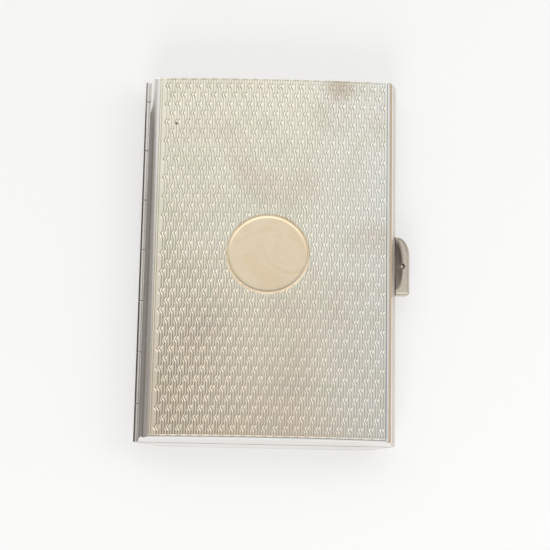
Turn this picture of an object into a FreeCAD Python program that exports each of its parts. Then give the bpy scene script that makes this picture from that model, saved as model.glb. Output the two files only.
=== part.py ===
"""Hinged silver card case: two curved covers, a knuckle hinge, a snap thumb tab and a sprung card bar.

Frame: +Z up, the flat back lies on z = 0, X runs across the case from the hinge (-X) to the thumb
tab (+X), and Y runs along it from the foot end (-Y) to the head end (+Y). The origin is the middle
of the flat back. All sizes are in millimetres.
"""

import FreeCAD, Part
import math
import os

import Sketcher
from FreeCAD import Placement, Rotation, Vector

DIMENSIONS = (
    ("case_width", 63.0, "over the hinge tube and the front edge, without the tab"),
    ("case_length", 93.0, "over the two end walls"),
    ("sheet_gauge", 0.7, "thickness of both covers"),
    ("rim_width", 1.0, "flat seat left along each long edge of a cover"),
    ("base_depth", 4.4, "back to the parting plane"),
    ("back_flat", 22.0, "half width of the flat back"),
    ("base_shoulder", 10.0, "outer radius of the base's shoulders"),
    ("parting_gap", 0.12, "between the closed halves"),
    ("lid_rise", 5.6, "lid seat to the top of the crown"),
    ("crown_radius", 383.0, "outer radius across the lid's crown"),
    ("crown_front", 28.4, "crown arc's end towards the tab, from the middle"),
    ("crown_back", 27.65, "crown arc's end towards the hinge, from the middle"),
    ("lid_shoulder", 2.6, "outer radius of the lid's shoulders"),
    ("lid_set_in", 0.75, "lid's side behind the hinge tube's outside"),
    ("cartouche_radius", 10.1, "outside of the ring round the blank disc"),
    ("cartouche_line", 0.4, "width of that ring"),
    ("cartouche_depth", 0.2, "bottom of the ring below the crown"),
    ("base_end_wall", 0.95, "thickness of the base's end walls"),
    ("lid_end_wall", 0.8, "thickness of the lid's end walls"),
    ("knuckle_radius", 0.6, "outside of the hinge tube"),
    ("bore_radius", 0.3, "inside of the hinge tube"),
    ("hinge_pin_radius", 0.27, "runs with 0.03 clearance"),
    ("knuckle_first", 5.4, "length of the knuckle at the head end"),
    ("knuckle_pitch", 13.05, "from one knuckle joint to the next"),
    ("knuckle_gap", 0.1, "between two knuckles"),
    ("knuckle_clearance", 0.1, "round the other half's knuckles"),
    ("solder", 0.02, "depth that a soldered piece sinks in"),
    ("bezel_inner", 28.3, "front bezel strip, inner face"),
    ("bezel_outer", 28.8, "front bezel strip, outer face"),
    ("bezel_stand", 1.1, "bezel above the base's seat"),
    ("bezel_root", 1.1, "end bezels below the base's seat"),
    ("bezel_inner_root", 1.43, "front bezel's inner edge below the seat"),
    ("bezel_outer_root", 1.11, "front bezel's outer edge below the seat"),
    ("bezel_thickness", 0.55, "end bezel strips"),
    ("bezel_half_length", 44.6, "front bezel strip"),
    ("bezel_half_width", 28.2, "end bezel strips"),
    ("front_rim_width", 1.2, "stiffening strip in the lid's front edge"),
    ("front_rim_height", 0.58, "the same strip"),
    ("front_rim_slant", 0.12, "the cover's lean over that height"),
    ("tab_reach", 3.4, "thumb tab beyond the front edge"),
    ("tab_length", 15.0, "along the case"),
    ("tab_centre", -1.0, "middle of the tab along Y"),
    ("tab_thickness", 0.98, "lid's tab"),
    ("tab_root", 2.0, "depth that the tab's blank runs under the edge"),
    ("tab_head_corner", 3.1, "depth of the wide bend at the head side"),
    ("tab_bend_length", 4.96, "length of that bend along the tab"),
    ("tab_bend_inset", 1.0, "the bend's middle point in from the tab's tip"),
    ("tab_bend_along", 1.92, "the same point along from the tab's end"),
    ("tab_foot_corner", 0.9, "corner radius at the foot side"),
    ("scoop_half_width", 1.5, "across the thumb scoop"),
    ("scoop_half_length", 6.9, "along the thumb scoop"),
    ("scoop_depth", 0.72, "below the tab's top"),
    ("lower_tab_inset", 0.3, "base's tab inside the lid's tab"),
    ("lower_tab_thickness", 0.9, "base's tab"),
    ("snap_reach", 1.6, "snap hole beyond the front edge"),
    ("snap_hole_radius", 0.77, "hole in the lid's tab"),
    ("snap_pip_radius", 0.64, "domed pip on the base's tab"),
    ("snap_stem_radius", 0.35, "the pip's riveted stem"),
    ("snap_pip_height", 0.72, "pip above the base's tab"),
    ("pivot_inset", 3.6, "card bar's pivot from the hinge edge"),
    ("pivot_height", 3.9, "card bar's pivot above the back"),
    ("pivot_pin_radius", 0.35, "card bar's pivot pins"),
    ("pivot_clearance", 0.03, "between eye and pin"),
    ("eye_radius", 0.8, "card bar's eyes"),
    ("arm_inner", 38.2, "inner face of each arm along Y"),
    ("arm_width", 1.4, "card bar's arms along Y"),
    ("bar_reach", 36.6, "pivot to the far side of the cross bar"),
    ("bar_width", 2.0, "cross bar"),
    ("bar_corner", 3.0, "mitre at the cross bar's outer corners"),
    ("bar_thickness", 0.6, "card bar's strip"),
    ("bar_slope", 4.2, "degrees, pivot down to the cross bar"),
    ("lug_inner", 41.4, "inner face of each lug along Y"),
    ("lug_thickness", 0.8, "pivot lugs"),
    ("lug_half_width", 0.8, "pivot lugs across the case"),
    ("lug_head", 0.8, "lug above the pivot"),
    ("lug_root_outer", 0.67, "lug's foot below the pivot, hinge side"),
    ("lug_root_inner", 1.7, "lug's foot below the pivot, card side"),
    ("pin_head_radius", 0.6, "pivot pin's head"),
    ("pin_head_length", 0.35, "pivot pin's head"),
    ("pin_head_gap", 0.1, "head to arm"),
    ("spring_radius", 0.6, "mean radius of the torsion springs"),
    ("spring_wire", 0.12, "radius of their wire"),
    ("spring_pitch", 0.35, "per turn"),
    ("spring_length", 1.05, "along the pin"),
)

SHEET = "dimensions"
KNUCKLES = 8
FREE_END = 1.0  # how far a cutter runs past the piece that it cuts

doc = FreeCAD.newDocument("card_case")
sheet = doc.addObject("Spreadsheet::Sheet", SHEET)
sub_parts = []


class Size:
    """A length that carries its number and the sheet expression it comes from."""

    def __init__(self, text, number):
        self.text = text
        self.number = number

    def combine(self, sign, other, number):
        other_text = other.text if isinstance(other, Size) else repr(other)
        return Size(f"({self.text} {sign} {other_text})", number)

    def __add__(self, other):
        return self.combine("+", other, self.number + float(other))

    def __sub__(self, other):
        return self.combine("-", other, self.number - float(other))

    def __mul__(self, other):
        return self.combine("*", other, self.number * float(other))

    def __truediv__(self, other):
        return self.combine("/", other, self.number / float(other))

    def __neg__(self):
        return Size(f"(0 - {self.text})", -self.number)

    def __float__(self):
        return float(self.number)


def fill_sheet():
    """Writes the driving dimensions and returns them by name."""
    sizes = {}
    for row, (alias, value, note) in enumerate(DIMENSIONS, start=1):
        sheet.set(f"A{row}", alias)
        sheet.set(f"B{row}", str(value))
        sheet.set(f"C{row}", note)
        sheet.setAlias(f"B{row}", alias)
        sizes[alias] = Size(f"{SHEET}.{alias}", value)
    doc.recompute()
    return sizes


D = fill_sheet()
ZERO = Size("0", 0.0)

half_width = D["case_width"] / 2
half_length = D["case_length"] / 2
lid_seat = D["base_depth"] + D["parting_gap"]
lid_top = lid_seat + D["lid_rise"]
hinge_x = D["knuckle_radius"] - half_width
hinge_z = D["base_depth"] + D["parting_gap"] / 2
snap_x = half_width + D["snap_reach"]
pivot_x = D["pivot_inset"] - half_width


# ---------------------------------------------------------------- building blocks


def new_body(name):
    body = doc.addObject("PartDesign::Body", name)
    body.Label = name
    sub_parts.append(body)
    return body


def bind(target, path, size):
    target.setExpression(path, size.text)


def new_sketch(body, name, role, offset=None):
    """A sketch on one of the body's own origin planes, moved along that plane's normal."""
    sketch = body.newObject("Sketcher::SketchObject", f"{body.Name}_{name}")
    plane = next(f for f in body.Origin.OriginFeatures if f.Role == role)
    sketch.AttachmentSupport = [(plane, "")]
    sketch.MapMode = "FlatFace"
    if offset is not None:
        sketch.AttachmentOffset = Placement(Vector(0, 0, float(offset)), Rotation())
        bind(sketch, "AttachmentOffset.Base.z", offset)
    return sketch


def place_point(sketch, geometry, end, x=None, y=None):
    """Dimensions one end of a line or arc from the sketch's origin."""
    for kind, size in (("DistanceX", x), ("DistanceY", y)):
        if size is None:
            continue
        index = sketch.addConstraint(
            Sketcher.Constraint(kind, -1, 1, geometry, end, float(size))
        )
        bind(sketch, f"Constraints[{index}]", size)


def add_outline(sketch, points):
    """A closed outline of straight lines through (x, y) sizes."""
    corners = [Vector(float(x), float(y), 0) for x, y in points]
    count = len(corners)
    first = sketch.GeometryCount
    for i in range(count):
        sketch.addGeometry(Part.LineSegment(corners[i], corners[(i + 1) % count]), False)
    for i in range(count):
        following = first + (i + 1) % count
        sketch.addConstraint(Sketcher.Constraint("Coincident", first + i, 2, following, 1))
        place_point(sketch, first + i, 1, *points[i])


def add_circle(sketch, x, y, radius):
    circle = Part.Circle(Vector(float(x), float(y), 0), Vector(0, 0, 1), float(radius))
    geometry = sketch.addGeometry(circle, False)
    place_point(sketch, geometry, 3, x, y)
    index = sketch.addConstraint(Sketcher.Constraint("Radius", geometry, float(radius)))
    bind(sketch, f"Constraints[{index}]", radius)


def finish_feature(body, feature, cuts):
    """Recomputes a feature and makes sure that it added or removed material."""
    before = feature.BaseFeature.Shape.Volume if feature.BaseFeature else 0.0
    doc.recompute()
    body.Tip = feature
    change = feature.Shape.Volume - before
    if (change >= 0) if cuts else (change <= 0):
        raise RuntimeError(f"{feature.Name} changed the volume by {change:.4f}")
    return feature


def extrude(body, sketch, length, cuts=False, symmetric=True, backwards=False):
    kind = "PartDesign::Pocket" if cuts else "PartDesign::Pad"
    feature = body.newObject(kind, f"{sketch.Name}_{'cut' if cuts else 'pad'}")
    feature.Profile = sketch
    feature.SideType = "Symmetric" if symmetric else "One side"
    feature.Reversed = backwards
    bind(feature, "Length", length)
    return finish_feature(body, feature, cuts)


def cylinder(body, name, x, y_low, z, radius, length, cuts=False):
    """A cylinder along +Y that adds to the body or cuts it."""
    kind = "PartDesign::SubtractiveCylinder" if cuts else "PartDesign::AdditiveCylinder"
    feature = body.newObject(kind, f"{body.Name}_{name}")
    turn = Rotation(Vector(1, 0, 0), -90)
    feature.Placement = Placement(Vector(float(x), float(y_low), float(z)), turn)
    bind(feature, "Placement.Base.x", x)
    bind(feature, "Placement.Base.y", y_low)
    bind(feature, "Placement.Base.z", z)
    bind(feature, "Radius", radius)
    bind(feature, "Height", length)
    return finish_feature(body, feature, cuts)


def side_sizes(is_lid, side, inset):
    """Seat corner and crown end of one side of a half, from the middle; side is 1 at the tab."""
    if is_lid:
        tip = half_width if side > 0 else half_width - D["lid_set_in"]
        crown_end = D["crown_front"] if side > 0 else D["crown_back"]
    else:
        tip = half_width
        crown_end = D["back_flat"]
    if inset is not None:
        tip = tip - D["rim_width"]
        if is_lid:
            crown_end = crown_end * ((D["crown_radius"] - inset) / D["crown_radius"])
    return tip, crown_end


def half_profile(sketch, is_lid, inset):
    """Cross-section of one half, closed along its seat.

    It has a crown (an arc on the lid, a flat on the base), a shoulder arc each side and a straight
    facet down to each long edge. inset is None for the outside and the sheet's gauge for the inside.
    """
    up = 1 if is_lid else -1
    seat = lid_seat if is_lid else D["base_depth"]
    shoulder = D["lid_shoulder"] if is_lid else D["base_shoulder"]
    crown_radius = D["crown_radius"]
    level = ZERO
    if inset is not None:
        shoulder = shoulder - inset
        crown_radius = crown_radius - inset
        level = inset
    crown_centre = lid_top - D["crown_radius"]
    leans = {}
    for side in (1, -1):
        crown_end = float(side_sizes(is_lid, side, inset)[1])
        leans[side] = math.asin(crown_end / float(crown_radius)) if is_lid else 0.0

    if is_lid:
        circle = Part.Circle(Vector(0, float(crown_centre), 0), Vector(0, 0, 1), float(crown_radius))
        crown_shape = Part.ArcOfCircle(circle, math.pi / 2 - leans[1], math.pi / 2 + leans[-1])
    else:
        right = Vector(float(D["back_flat"]), float(level), 0)
        crown_shape = Part.LineSegment(right, Vector(-right.x, right.y, 0))
    crown = sketch.addGeometry(crown_shape, False)

    for side, crown_point in ((1, 1), (-1, 2)):
        tip, crown_end = side_sizes(is_lid, side, inset)
        lean = leans[side]
        crown_z = float(level)
        if is_lid:
            crown_z = float(crown_centre) + float(crown_radius) * math.cos(lean)
        centre_x = float(crown_end) - float(shoulder) * math.sin(lean)
        centre_z = crown_z - up * float(shoulder) * math.cos(lean)
        to_tip_x = float(tip) - centre_x
        to_tip_z = up * (float(seat) - centre_z)
        away = math.acos(float(shoulder) / math.hypot(to_tip_x, to_tip_z))
        turn = math.atan2(to_tip_x, to_tip_z) - away
        circle = Part.Circle(Vector(side * centre_x, centre_z, 0), Vector(0, 0, 1), float(shoulder))
        angles = sorted(up * (math.pi / 2 - side * angle) for angle in (lean, turn))
        bend = sketch.addGeometry(Part.ArcOfCircle(circle, *angles), False)
        high_x = side * (centre_x + float(shoulder) * math.sin(turn))
        high_z = centre_z + up * float(shoulder) * math.cos(turn)
        corner = Vector(side * float(tip), float(seat), 0)
        straight = sketch.addGeometry(Part.LineSegment(corner, Vector(high_x, high_z, 0)), False)
        at_crown = 2 if side * up > 0 else 1
        sketch.addConstraint(
            Sketcher.Constraint("Tangent", crown, crown_point, bend, at_crown)
        )
        sketch.addConstraint(
            Sketcher.Constraint("Tangent", bend, 3 - at_crown, straight, 2)
        )
        index = sketch.addConstraint(Sketcher.Constraint("Radius", bend, float(shoulder)))
        bind(sketch, f"Constraints[{index}]", shoulder)
        place_point(sketch, straight, 1, tip if side > 0 else -tip, seat)
        height = None if is_lid else level
        place_point(sketch, crown, crown_point, crown_end if side > 0 else -crown_end, height)
    if is_lid:
        sketch.addConstraint(Sketcher.Constraint("PointOnObject", crown, 3, -2))
        place_point(sketch, crown, 3, None, crown_centre)
        index = sketch.addConstraint(Sketcher.Constraint("Radius", crown, float(crown_radius)))
        bind(sketch, f"Constraints[{index}]", crown_radius)
    front = Vector(float(side_sizes(is_lid, 1, inset)[0]), float(seat), 0)
    back = Vector(-float(side_sizes(is_lid, -1, inset)[0]), float(seat), 0)
    closing = sketch.addGeometry(Part.LineSegment(front, back), False)
    sketch.addConstraint(Sketcher.Constraint("Coincident", closing, 1, crown + 2, 1))
    sketch.addConstraint(Sketcher.Constraint("Coincident", closing, 2, crown + 4, 1))


def knuckle_span(index):
    """Lowest and highest Y of one hinge segment, counted from the head end."""
    high = half_length
    if index > 0:
        high = half_length - D["knuckle_first"] - D["knuckle_pitch"] * (index - 1)
    low = half_length - D["knuckle_first"] - D["knuckle_pitch"] * index
    if index == KNUCKLES - 1:
        low = -half_length
    return low, high


def knuckle_owner(index):
    return "base" if index % 2 == 0 else "lid"


def trim_hinge_edge(body):
    """Cuts the base's long edge back to the hinge's axis."""
    trim = new_sketch(body, "trim", "XZ_Plane")
    outside = -half_width - FREE_END
    low_z = hinge_z - D["knuckle_radius"] - D["knuckle_clearance"]
    high_z = hinge_z + D["knuckle_radius"] + D["knuckle_clearance"]
    corners = ((outside, low_z), (hinge_x, low_z), (hinge_x, high_z), (outside, high_z))
    add_outline(trim, corners)
    extrude(body, trim, D["case_length"] + FREE_END, cuts=True)


def cut_hinge_seat(body, owner):
    """Hollows the long edge: a soldered fit for its own knuckles, room for the other half's."""
    for index in range(KNUCKLES):
        low, high = knuckle_span(index)
        if knuckle_owner(index) == owner:
            radius = D["knuckle_radius"] - D["solder"]
        else:
            radius = D["knuckle_radius"] + D["knuckle_clearance"]
            low = low - D["knuckle_gap"]
            high = high + D["knuckle_gap"]
        cylinder(body, f"seat_{index + 1}", hinge_x, low, hinge_z, radius, high - low, cuts=True)


# ---------------------------------------------------------------- covers and end walls


def make_cover(name, is_lid):
    body = new_body(name)
    outside = new_sketch(body, "outside", "XZ_Plane")
    half_profile(outside, is_lid, None)
    extrude(body, outside, D["case_length"])
    inside = new_sketch(body, "inside", "XZ_Plane")
    half_profile(inside, is_lid, D["sheet_gauge"])
    extrude(body, inside, D["case_length"] + FREE_END, cuts=True)
    return body


def make_base_cover():
    body = make_cover("base_cover", False)
    trim_hinge_edge(body)
    cut_hinge_seat(body, "base")


def make_lid_cover():
    """The lid's cover has a ring cut into its crown round the blank disc."""
    body = make_cover("lid_cover", True)
    ring = new_sketch(body, "cartouche", "XY_Plane", lid_top)
    add_circle(ring, ZERO, ZERO, D["cartouche_radius"])
    add_circle(ring, ZERO, ZERO, D["cartouche_radius"] - D["cartouche_line"])
    extrude(body, ring, D["cartouche_depth"], cuts=True, symmetric=False)
    cut_hinge_seat(body, "lid")


def make_end_wall(name, is_lid, end):
    """A flat wall inside one end of a cover; end is 1 at the head and -1 at the foot."""
    thickness = D["lid_end_wall"] if is_lid else D["base_end_wall"]
    middle = (half_length - thickness / 2) * end
    body = new_body(name)
    sketch = new_sketch(body, "outline", "XZ_Plane", -middle)
    half_profile(sketch, is_lid, D["sheet_gauge"])
    extrude(body, sketch, thickness)
    if not is_lid:
        radius = D["knuckle_radius"] + D["knuckle_clearance"]
        length = D["case_length"]
        cylinder(body, "seat", hinge_x, -half_length, hinge_z, radius, length, cuts=True)


def make_end_walls():
    for end, word in ((1, "head"), (-1, "foot")):
        make_end_wall(f"base_end_{word}", False, end)
        make_end_wall(f"lid_end_{word}", True, end)


def make_front_bezel():
    """Upright strip inside the base's front edge, which the lid closes over."""
    seat = D["base_depth"]
    body = new_body("base_bezel_front")
    sketch = new_sketch(body, "outline", "XZ_Plane")
    add_outline(
        sketch,
        (
            (D["bezel_inner"], seat - D["bezel_inner_root"]),
            (D["bezel_outer"], seat - D["bezel_outer_root"]),
            (D["bezel_outer"], seat + D["bezel_stand"]),
            (D["bezel_inner"], seat + D["bezel_stand"]),
        ),
    )
    extrude(body, sketch, D["bezel_half_length"] * 2)


def make_end_bezels():
    """Upright strips on the inner faces of the base's end walls."""
    seat = D["base_depth"]
    for end, word in ((1, "head"), (-1, "foot")):
        body = new_body(f"base_bezel_{word}")
        outer_face = half_length - D["base_end_wall"]
        middle = (outer_face - D["bezel_thickness"] / 2) * end
        sketch = new_sketch(body, "outline", "XZ_Plane", -middle)
        across = D["bezel_half_width"]
        low = seat - D["bezel_root"]
        high = seat + D["bezel_stand"]
        add_outline(sketch, ((-across, low), (across, low), (across, high), (-across, high)))
        extrude(body, sketch, D["bezel_thickness"])


def make_lid_front_rim():
    """Stiffening strip in the corner behind the lid's front edge."""
    edge = half_width - D["rim_width"]
    high = lid_seat + D["front_rim_height"]
    body = new_body("lid_front_rim")
    sketch = new_sketch(body, "outline", "XZ_Plane")
    add_outline(
        sketch,
        (
            (edge - D["front_rim_width"], lid_seat),
            (edge, lid_seat),
            (edge - D["front_rim_slant"], high),
            (edge - D["front_rim_width"], high),
        ),
    )
    extrude(body, sketch, D["bezel_half_length"] * 2)


# ---------------------------------------------------------------- hinge


def make_knuckles():
    for index in range(KNUCKLES):
        owner = knuckle_owner(index)
        low, high = knuckle_span(index)
        low = low + D["knuckle_gap"] / 2
        length = high - low - D["knuckle_gap"] / 2
        body = new_body(f"{owner}_knuckle_{index // 2 + 1}")
        cylinder(body, "tube", hinge_x, low, hinge_z, D["knuckle_radius"], length)
        start = low - FREE_END
        bore = length + 2 * FREE_END
        cylinder(body, "bore", hinge_x, start, hinge_z, D["bore_radius"], bore, cuts=True)


def make_hinge_pin():
    body = new_body("hinge_pin")
    low = D["knuckle_gap"] - half_length
    length = D["case_length"] - D["knuckle_gap"] * 2
    cylinder(body, "wire", hinge_x, low, hinge_z, D["hinge_pin_radius"], length)


# ---------------------------------------------------------------- catch


def add_tab_outline(sketch, reach, length):
    """D-shaped outline: a wide bend at the head side, a tight corner at the foot side."""
    root = half_width - D["tab_root"]
    tip = half_width + reach
    high = D["tab_centre"] + length / 2
    low = D["tab_centre"] - length / 2
    wide = D["tab_head_corner"]
    tight = D["tab_foot_corner"]
    corners = (
        (root, low),
        (tip - tight, low),
        (tip, low + tight),
        (tip, high - D["tab_bend_length"]),
        (tip - D["tab_bend_inset"], high - D["tab_bend_along"]),
        (tip - wide, high),
        (root, high),
    )
    add_outline(sketch, corners)


def fit_to_cover(body, is_lid):
    """Cuts a tab's blank back to the outer face of its cover."""
    cover = new_sketch(body, "cover", "XZ_Plane")
    half_profile(cover, is_lid, None)
    extrude(body, cover, D["tab_length"] * 3, cuts=True)


def make_lid_tab():
    """Thumb tab on the lid's edge, scooped for the thumb nail and pierced for the snap."""
    body = new_body("lid_thumb_tab")
    blank = new_sketch(body, "blank", "XY_Plane", lid_seat)
    add_tab_outline(blank, D["tab_reach"], D["tab_length"])
    extrude(body, blank, D["tab_thickness"], symmetric=False)
    fit_to_cover(body, True)
    scoop = body.newObject("PartDesign::SubtractiveEllipsoid", "lid_thumb_tab_scoop")
    scoop_x = half_width + D["scoop_half_width"] / 3
    scoop_z = lid_seat + D["tab_thickness"]
    middle = Vector(float(scoop_x), float(D["tab_centre"]), float(scoop_z))
    scoop.Placement = Placement(middle, Rotation())
    bind(scoop, "Placement.Base.x", scoop_x)
    bind(scoop, "Placement.Base.y", D["tab_centre"])
    bind(scoop, "Placement.Base.z", scoop_z)
    bind(scoop, "Radius1", D["scoop_depth"])
    bind(scoop, "Radius2", D["scoop_half_width"])
    bind(scoop, "Radius3", D["scoop_half_length"])
    finish_feature(body, scoop, cuts=True)
    hole = new_sketch(body, "snap_hole", "XY_Plane", lid_seat)
    add_circle(hole, snap_x, D["tab_centre"], D["snap_hole_radius"])
    extrude(body, hole, D["tab_thickness"] * 4, cuts=True)


def make_base_tab():
    """Smaller tab under the lid's one, which carries the snap pip."""
    seat = D["base_depth"]
    inset = D["lower_tab_inset"]
    body = new_body("base_catch_tab")
    blank = new_sketch(body, "blank", "XY_Plane", seat - D["lower_tab_thickness"])
    add_tab_outline(blank, D["tab_reach"] - inset, D["tab_length"] - inset * 2)
    extrude(body, blank, D["lower_tab_thickness"], symmetric=False)
    fit_to_cover(body, False)
    hole = new_sketch(body, "stem_hole", "XY_Plane", seat)
    add_circle(hole, snap_x, D["tab_centre"], D["snap_stem_radius"])
    extrude(body, hole, D["lower_tab_thickness"] * 4, cuts=True)


def make_snap_pip():
    """Domed rivet that springs into the lid tab's hole."""
    seat = D["base_depth"]
    pip = new_body("catch_pip")
    stem = new_sketch(pip, "stem", "XY_Plane", seat - D["lower_tab_thickness"])
    add_circle(stem, snap_x, D["tab_centre"], D["snap_stem_radius"])
    extrude(pip, stem, D["lower_tab_thickness"], symmetric=False)
    dome = pip.newObject("PartDesign::AdditiveEllipsoid", "catch_pip_dome")
    dome.Placement = Placement(Vector(float(snap_x), float(D["tab_centre"]), float(seat)), Rotation())
    bind(dome, "Placement.Base.x", snap_x)
    bind(dome, "Placement.Base.y", D["tab_centre"])
    bind(dome, "Placement.Base.z", seat)
    bind(dome, "Radius1", D["snap_pip_height"])
    bind(dome, "Radius2", D["snap_pip_radius"])
    bind(dome, "Radius3", D["snap_pip_radius"])
    dome.Angle1 = 0
    finish_feature(pip, dome, cuts=False)


# ---------------------------------------------------------------- sprung card bar


def make_card_bar():
    """U-shaped strip on two eyes; it lies low in the base and cards slide under it."""
    body = new_body("retainer_bar")
    inner = D["arm_inner"]
    outer = D["arm_inner"] + D["arm_width"]
    reach = D["bar_reach"]
    mitre = D["bar_corner"]
    near = reach - D["bar_width"]
    small = mitre / 2
    strip = new_sketch(body, "strip", "XY_Plane")
    add_outline(
        strip,
        (
            (ZERO, -outer),
            (reach - mitre, -outer),
            (reach, mitre - outer),
            (reach, outer - mitre),
            (reach - mitre, outer),
            (ZERO, outer),
            (ZERO, inner),
            (near - small, inner),
            (near, inner - small),
            (near, small - inner),
            (near - small, -inner),
            (ZERO, -inner),
        ),
    )
    extrude(body, strip, D["bar_thickness"])
    for low, word in ((inner, "head"), (-outer, "foot")):
        cylinder(body, f"eye_{word}", ZERO, low, ZERO, D["eye_radius"], D["arm_width"])
    bore = D["pivot_pin_radius"] + D["pivot_clearance"]
    for low, word in ((inner, "head"), (-outer, "foot")):
        start = low - FREE_END
        length = D["arm_width"] + 2 * FREE_END
        cylinder(body, f"bore_{word}", ZERO, start, ZERO, bore, length, cuts=True)
    turn = Rotation(Vector(0, 1, 0), float(D["bar_slope"]))
    body.Placement = Placement(Vector(float(pivot_x), 0, float(D["pivot_height"])), turn)
    bind(body, "Placement.Base.x", pivot_x)
    bind(body, "Placement.Base.z", D["pivot_height"])
    bind(body, "Placement.Rotation.Angle", D["bar_slope"])


def make_lug(end, word):
    """Small upright lug soldered to the base's shoulder, which holds a pivot pin."""
    body = new_body(f"retainer_lug_{word}")
    middle = (D["lug_inner"] + D["lug_thickness"] / 2) * end
    sketch = new_sketch(body, "outline", "XZ_Plane", -middle)
    left = pivot_x - D["lug_half_width"]
    right = pivot_x + D["lug_half_width"]
    top = D["pivot_height"] + D["lug_head"]
    chamfer = D["lug_half_width"] / 2
    add_outline(
        sketch,
        (
            (left, D["pivot_height"] - D["lug_root_outer"]),
            (right, D["pivot_height"] - D["lug_root_inner"]),
            (right, top - chamfer),
            (right - chamfer, top),
            (left + chamfer, top),
            (left, top - chamfer),
        ),
    )
    extrude(body, sketch, D["lug_thickness"])
    low = middle - D["lug_thickness"]
    bore = D["pivot_pin_radius"]
    length = D["lug_thickness"] * 2
    cylinder(body, "bore", pivot_x, low, D["pivot_height"], bore, length, cuts=True)


def make_pivot_pin(end, word):
    body = new_body(f"retainer_pin_{word}")
    inner_end = D["arm_inner"] - D["pin_head_gap"]
    outer_end = D["lug_inner"] + D["lug_thickness"]
    length = outer_end - inner_end
    low = inner_end if end > 0 else -outer_end
    cylinder(body, "shank", pivot_x, low, D["pivot_height"], D["pivot_pin_radius"], length)
    head = D["pin_head_length"]
    low = inner_end - head if end > 0 else -inner_end
    cylinder(body, "head", pivot_x, low, D["pivot_height"], D["pin_head_radius"], head)


def make_spring(end, word):
    """Torsion coil round the pivot pin, between the bar's eye and the lug."""
    helix = doc.addObject("Part::Helix", f"spring_line_{word}")
    bind(helix, "Radius", D["spring_radius"])
    bind(helix, "Pitch", D["spring_pitch"])
    bind(helix, "Height", D["spring_length"])
    wire = doc.addObject("Part::Circle", f"spring_wire_{word}")
    bind(wire, "Radius", D["spring_wire"])
    wire.Placement = Placement(Vector(float(D["spring_radius"]), 0, 0), Rotation(Vector(1, 0, 0), 90))
    bind(wire, "Placement.Base.x", D["spring_radius"])
    coil = doc.addObject("Part::Sweep", f"retainer_spring_{word}")
    coil.Label = f"retainer_spring_{word}"
    coil.Sections = [wire]
    coil.Spine = helix
    coil.Solid = True
    coil.Frenet = True
    gap_middle = (D["arm_inner"] + D["arm_width"] + D["lug_inner"]) / 2
    low = gap_middle * end - D["spring_length"] / 2
    start = Vector(float(pivot_x), float(low), float(D["pivot_height"]))
    coil.Placement = Placement(start, Rotation(Vector(1, 0, 0), -90))
    bind(coil, "Placement.Base.x", pivot_x)
    bind(coil, "Placement.Base.y", low)
    bind(coil, "Placement.Base.z", D["pivot_height"])
    sub_parts.append(coil)


def make_card_bar_mounting():
    for end, word in ((1, "head"), (-1, "foot")):
        make_lug(end, word)
        make_pivot_pin(end, word)
        make_spring(end, word)


# ---------------------------------------------------------------- build, test and write


def check_document():
    """Stops if any object failed or any sub-part is not a valid solid."""
    for item in doc.Objects:
        if {"Invalid", "Error"} & set(item.State):
            raise RuntimeError(f"{item.Name} failed: {item.State}")
    for part in sub_parts:
        shape = part.Shape
        if shape.isNull() or not shape.isValid() or len(shape.Solids) != 1:
            raise RuntimeError(f"{part.Label} is not one valid solid")


def write_parts():
    os.makedirs("parts", exist_ok=True)
    for part in sub_parts:
        part.Shape.exportStep(f"parts/{part.Label}.step")
        print(f"{part.Label}: {part.Shape.Volume:.2f} mm3")


make_base_cover()
make_lid_cover()
make_end_walls()
make_front_bezel()
make_end_bezels()
make_lid_front_rim()
make_knuckles()
make_hinge_pin()
make_lid_tab()
make_base_tab()
make_snap_pip()
make_card_bar()
make_card_bar_mounting()
doc.recompute()
check_document()
write_parts()
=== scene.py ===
"""Looks of the hinged silver card case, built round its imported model. Metres, +Z up, hinge at -X."""

import math
import random

import bpy
import numpy as np
from mathutils import Matrix, Vector


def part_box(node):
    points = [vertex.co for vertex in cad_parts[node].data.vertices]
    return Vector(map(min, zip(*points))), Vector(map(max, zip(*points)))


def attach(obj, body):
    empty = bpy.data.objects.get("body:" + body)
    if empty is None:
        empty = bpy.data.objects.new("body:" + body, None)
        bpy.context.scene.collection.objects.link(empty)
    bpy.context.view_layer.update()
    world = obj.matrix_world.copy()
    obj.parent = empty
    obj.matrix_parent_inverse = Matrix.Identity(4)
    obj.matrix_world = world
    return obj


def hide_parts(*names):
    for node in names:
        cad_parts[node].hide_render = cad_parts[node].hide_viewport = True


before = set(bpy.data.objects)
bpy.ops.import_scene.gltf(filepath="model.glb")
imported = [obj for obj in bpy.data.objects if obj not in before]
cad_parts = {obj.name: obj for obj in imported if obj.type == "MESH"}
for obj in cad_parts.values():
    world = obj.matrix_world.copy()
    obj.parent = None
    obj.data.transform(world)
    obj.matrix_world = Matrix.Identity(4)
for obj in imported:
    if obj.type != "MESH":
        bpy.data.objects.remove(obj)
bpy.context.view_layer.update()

MM = 0.001


# ---------------------------------------------------------------- sizes read from the frame


def box_mm(node):
    """Lowest and highest corners of a node at rest, in millimetres."""
    low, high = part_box(node)
    return np.array(low) / MM, np.array(high) / MM


LID_LOW, LID_HIGH = box_mm("lid_cover")
BASE_LOW, BASE_HIGH = box_mm("base_cover")
KNUCKLE_LOW, KNUCKLE_HIGH = box_mm("lid_knuckle_1")
HALF_LENGTH = LID_HIGH[1]
TIP = LID_HIGH[0]
HINGE_X = (KNUCKLE_LOW[0] + KNUCKLE_HIGH[0]) / 2
HINGE_Z = (KNUCKLE_LOW[2] + KNUCKLE_HIGH[2]) / 2
KNUCKLE_RADIUS = (KNUCKLE_HIGH[0] - KNUCKLE_LOW[0]) / 2

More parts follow.
